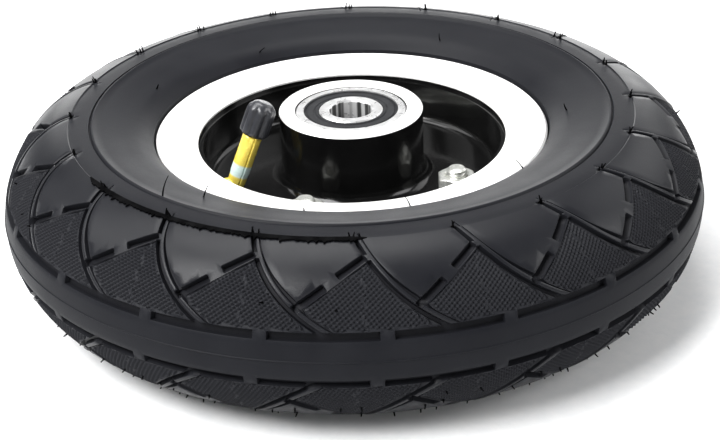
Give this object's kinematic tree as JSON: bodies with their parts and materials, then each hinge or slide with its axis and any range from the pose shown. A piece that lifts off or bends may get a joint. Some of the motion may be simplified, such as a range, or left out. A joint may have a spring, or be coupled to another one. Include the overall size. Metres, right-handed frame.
{
  "type": "pneumatic wheel",
  "caption": "Small pneumatic wheel: treaded tyre and tube on a split dished rim, with a sealed ball bearing at each end of its hub and a bent valve.",
  "frame": {"origin": "the wheel's centre: on the axle line, in the plane where the rim halves meet", "axes": "+Z along the axle, out of the side with the nuts and the valve; +X and +Y in the wheel's plane; the wheel lies flat"},
  "size_m": [0.2, 0.2, 0.0564],
  "materials": {
    "tyre_rubber": "moulded satin rubber, slightly glossy on the smooth blocks",
    "tube_rubber": "smooth butyl rubber with talc",
    "rim_black": "gloss black paint with bright machined lip and boss faces",
    "zinc_steel": "bright zinc plate",
    "bearing_steel": "ground and polished bearing steel",
    "cage_nylon": "natural nylon",
    "seal_rubber": "matte moulded rubber",
    "spacer_aluminium": "turned aluminium",
    "valve_brass": "bright turned brass",
    "core_brass": "turned brass",
    "spring_steel": "drawn wire",
    "cap_plastic": "moulded black plastic, satin"
  },
  "bodies": {
    "axle_side": {"upper_inner_ring": "bearing_steel", "lower_inner_ring": "bearing_steel", "bearing_spacer": "spacer_aluminium"},
    "wheel": {"tyre": "tyre_rubber", "inner_tube": "tube_rubber", "rim_half_upper": "rim_black", "rim_half_lower": "rim_black", "rim_bolts": "zinc_steel", "rim_nuts": "zinc_steel", "upper_outer_ring": "bearing_steel", "upper_outboard_seal": "seal_rubber", "upper_inboard_seal": "seal_rubber", "lower_outer_ring": "bearing_steel", "lower_outboard_seal": "seal_rubber", "lower_inboard_seal": "seal_rubber", "valve_boot": "tube_rubber", "valve_stem": "valve_brass", "valve_core_body": "core_brass", "valve_core_spring": "spring_steel"},
    "upper_ball_set": {"upper_balls": "bearing_steel", "upper_cage": "cage_nylon"},
    "lower_ball_set": {"lower_balls": "bearing_steel", "lower_cage": "cage_nylon"},
    "core_pin": {"valve_core_pin": "core_brass", "valve_core_seal": "seal_rubber"},
    "cap_seal": {"valve_cap_seal": "seal_rubber"},
    "cap": {"valve_cap": "cap_plastic"}
  },
  "joints": [
    {"name": "wheel_spin", "type": "hinge", "parent": "axle_side", "child": "wheel", "pos_m": [0, 0, 0], "axis": [0, 0, 1], "continuous": true},
    {"name": "upper_balls_orbit", "type": "hinge", "parent": "axle_side", "child": "upper_ball_set", "pos_m": [0, 0, 0.0185], "axis": [0, 0, 1], "continuous": true},
    {"name": "lower_balls_orbit", "type": "hinge", "parent": "axle_side", "child": "lower_ball_set", "pos_m": [0, 0, -0.0185], "axis": [0, 0, 1], "continuous": true},
    {"name": "core_press", "type": "slide", "parent": "wheel", "child": "core_pin", "axis": [-0.3716, -0.1207, -0.9205], "range_m": [0, 0.0012], "stiffness_N_per_m": 300, "springref_m": -0.002, "deforming": ["valve_core_spring"]},
    {"name": "cap_lift", "type": "slide", "parent": "wheel", "child": "cap_seal", "axis": [0.3716, 0.1207, 0.9205], "range_m": [0, 0.00635]},
    {"name": "cap_turn", "type": "hinge", "parent": "cap_seal", "child": "cap", "pos_m": [-0.02483, -0.00807, 0.02797], "axis": [0.3716, 0.1207, 0.9205], "range_deg": [0, 2880]}
  ],
  "couplings": [
    {"joint": "upper_balls_orbit", "follows": "wheel_spin", "ratio": 0.6352},
    {"joint": "lower_balls_orbit", "follows": "wheel_spin", "ratio": 0.6352},
    {"joint": "cap_turn", "follows": "cap_lift", "rad_per_m": 7913.3}
  ]
}
